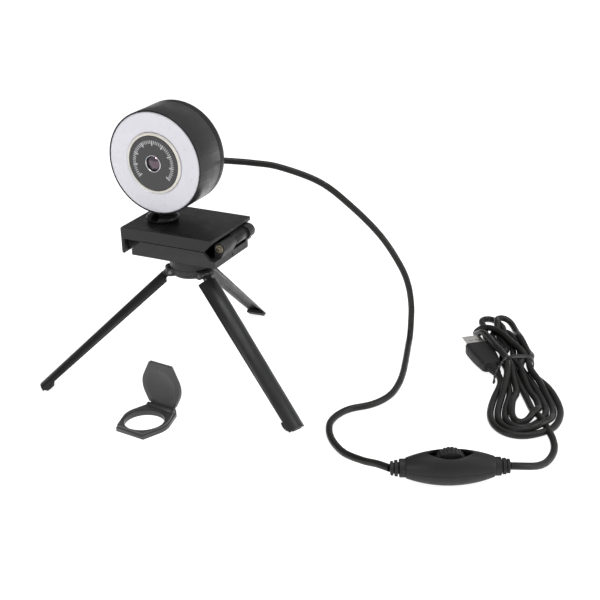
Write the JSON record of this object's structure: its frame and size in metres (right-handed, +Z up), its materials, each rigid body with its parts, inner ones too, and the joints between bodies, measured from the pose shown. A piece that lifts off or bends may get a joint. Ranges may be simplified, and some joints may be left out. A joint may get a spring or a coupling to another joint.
{
  "type": "webcam on tripod",
  "caption": "Round ring-light webcam on a folding monitor clip and a small folding tripod, with inline dimmer, USB cord and a flip-up privacy cover.",
  "frame": {"origin": "on the floor, on the tripod's axis, between the three feet", "axes": "+Z up, -Y the way the camera looks, -X towards the clip's lip"},
  "size_m": [0.3067, 0.2163, 0.1635],
  "materials": {
    "black_satin_plastic": "satin black moulded plastic",
    "black_plate": "smooth near-black satin plastic",
    "grey_plastic": "fine-grained dark grey plastic",
    "leg_black": "satin black moulded plastic",
    "rubber_black": "matte black rubber",
    "milky_diffuser": "milky white translucent plastic",
    "panel_charcoal": "charcoal lacquered panel",
    "trim_silver": "thin pearl-coloured plated ring",
    "chrome": "polished chrome",
    "lens_glass": "coated lens glass",
    "white_board": "white solder-masked board",
    "green_board": "green solder-masked board",
    "led_yellow": "phosphor-coated lamps",
    "baffle_white": "white moulded plastic",
    "steel": "plain steel",
    "brass": "dull greyish brass",
    "cord_pvc": "black PVC cord jacket",
    "tie_black": "black plastic twist tie",
    "usb_steel": "nickel-plated steel",
    "usb_white": "white moulded plastic",
    "dimmer_black": "matte black moulded plastic",
    "cover_grey": "dark grey moulded plastic"
  },
  "bodies": {
    "base": {"clip_arm": "grey_plastic", "arm_pad": "rubber_black", "hinge_pin": "brass", "thread_insert": "brass", "hub_top": "grey_plastic", "hub_base": "grey_plastic", "tripod_screw": "steel", "leg_pin_1": "steel", "leg_pin_2": "steel", "leg_pin_3": "steel", "dimmer_top": "dimmer_black", "dimmer_base": "dimmer_black", "dimmer_axle": "steel", "dimmer_board": "green_board", "relief_in": "rubber_black", "relief_out": "rubber_black", "camera_cord": "cord_pvc", "plug_cord": "cord_pvc", "hank": "cord_pvc", "twist_tie": "tie_black", "usb_grip": "rubber_black", "usb_shell": "usb_steel", "usb_tongue": "usb_white"},
    "clip_top": {"clip_plate": "black_plate", "lip_pad": "rubber_black"},
    "swivel": {"swivel_dome": "black_satin_plastic", "swivel_screw": "steel", "tilt_pin": "steel"},
    "head": {"head_shell": "black_satin_plastic", "rear_cover": "black_satin_plastic", "ring_diffuser": "milky_diffuser", "led_board": "white_board", "leds": "led_yellow", "light_baffle": "baffle_white", "lens_panel": "panel_charcoal", "panel_trim": "trim_silver", "lens_barrel": "black_satin_plastic", "lens_ring": "chrome", "lens_glass": "lens_glass", "sensor_board": "green_board", "head_screws": "steel", "cord_gland": "rubber_black", "neck_stem": "black_satin_plastic"},
    "front_left_leg": {"leg_1": "leg_black", "foot_1": "rubber_black"},
    "front_right_leg": {"leg_2": "leg_black", "foot_2": "rubber_black"},
    "rear_leg": {"leg_3": "leg_black", "foot_3": "rubber_black"},
    "wheel": {"dimmer_wheel": "dimmer_black"},
    "cover": {"cover_base": "cover_grey", "cover_pin": "steel"},
    "lid": {"cover_lid": "cover_grey"}
  },
  "joints": [
    {"name": "clip_hinge", "type": "hinge", "parent": "base", "child": "clip_top", "pos_m": [0.0234, 0, 0.0882], "axis": [0, 1, 0], "range_deg": [0, 105], "deforming": ["camera_cord"]},
    {"name": "head_pan", "type": "hinge", "parent": "clip_top", "child": "swivel", "pos_m": [-0.0227, 0.0075, 0.0952], "axis": [0, 0, 1], "range_deg": [-90, 90], "deforming": ["camera_cord"]},
    {"name": "head_tilt", "type": "hinge", "parent": "swivel", "child": "head", "pos_m": [-0.0227, 0.0075, 0.0982], "axis": [1, 0, 0], "range_deg": [-15, 15], "deforming": ["camera_cord"]},
    {"name": "front_left_leg_fold", "type": "hinge", "parent": "base", "child": "front_left_leg", "pos_m": [-0.01081, -0.00757, 0.0702], "axis": [0.5736, -0.8192, 0], "range_deg": [0, 49]},
    {"name": "front_right_leg_fold", "type": "hinge", "parent": "base", "child": "front_right_leg", "pos_m": [0.01215, -0.00516, 0.0702], "axis": [0.3907, 0.9205, 0], "range_deg": [0, 49]},
    {"name": "rear_leg_fold", "type": "hinge", "parent": "base", "child": "rear_leg", "pos_m": [-0.00115, 0.01315, 0.0702], "axis": [-0.9962, -0.0872, 0], "range_deg": [0, 49]},
    {"name": "dimmer_turn", "type": "hinge", "parent": "base", "child": "wheel", "pos_m": [0.183, -0.053, 0.0119], "axis": [-0.4415, 0.8973, 0], "range_deg": [-135, 135]},
    {"name": "cover_lift", "type": "slide", "parent": "base", "child": "cover", "axis": [0, 0, 1], "range_m": [0, 0.05]},
    {"name": "lid_flip", "type": "hinge", "parent": "cover", "child": "lid", "pos_m": [0.00642, -0.05208, 0.0034], "axis": [0.9945, -0.1045, 0], "range_deg": [0, 91]}
  ]
}
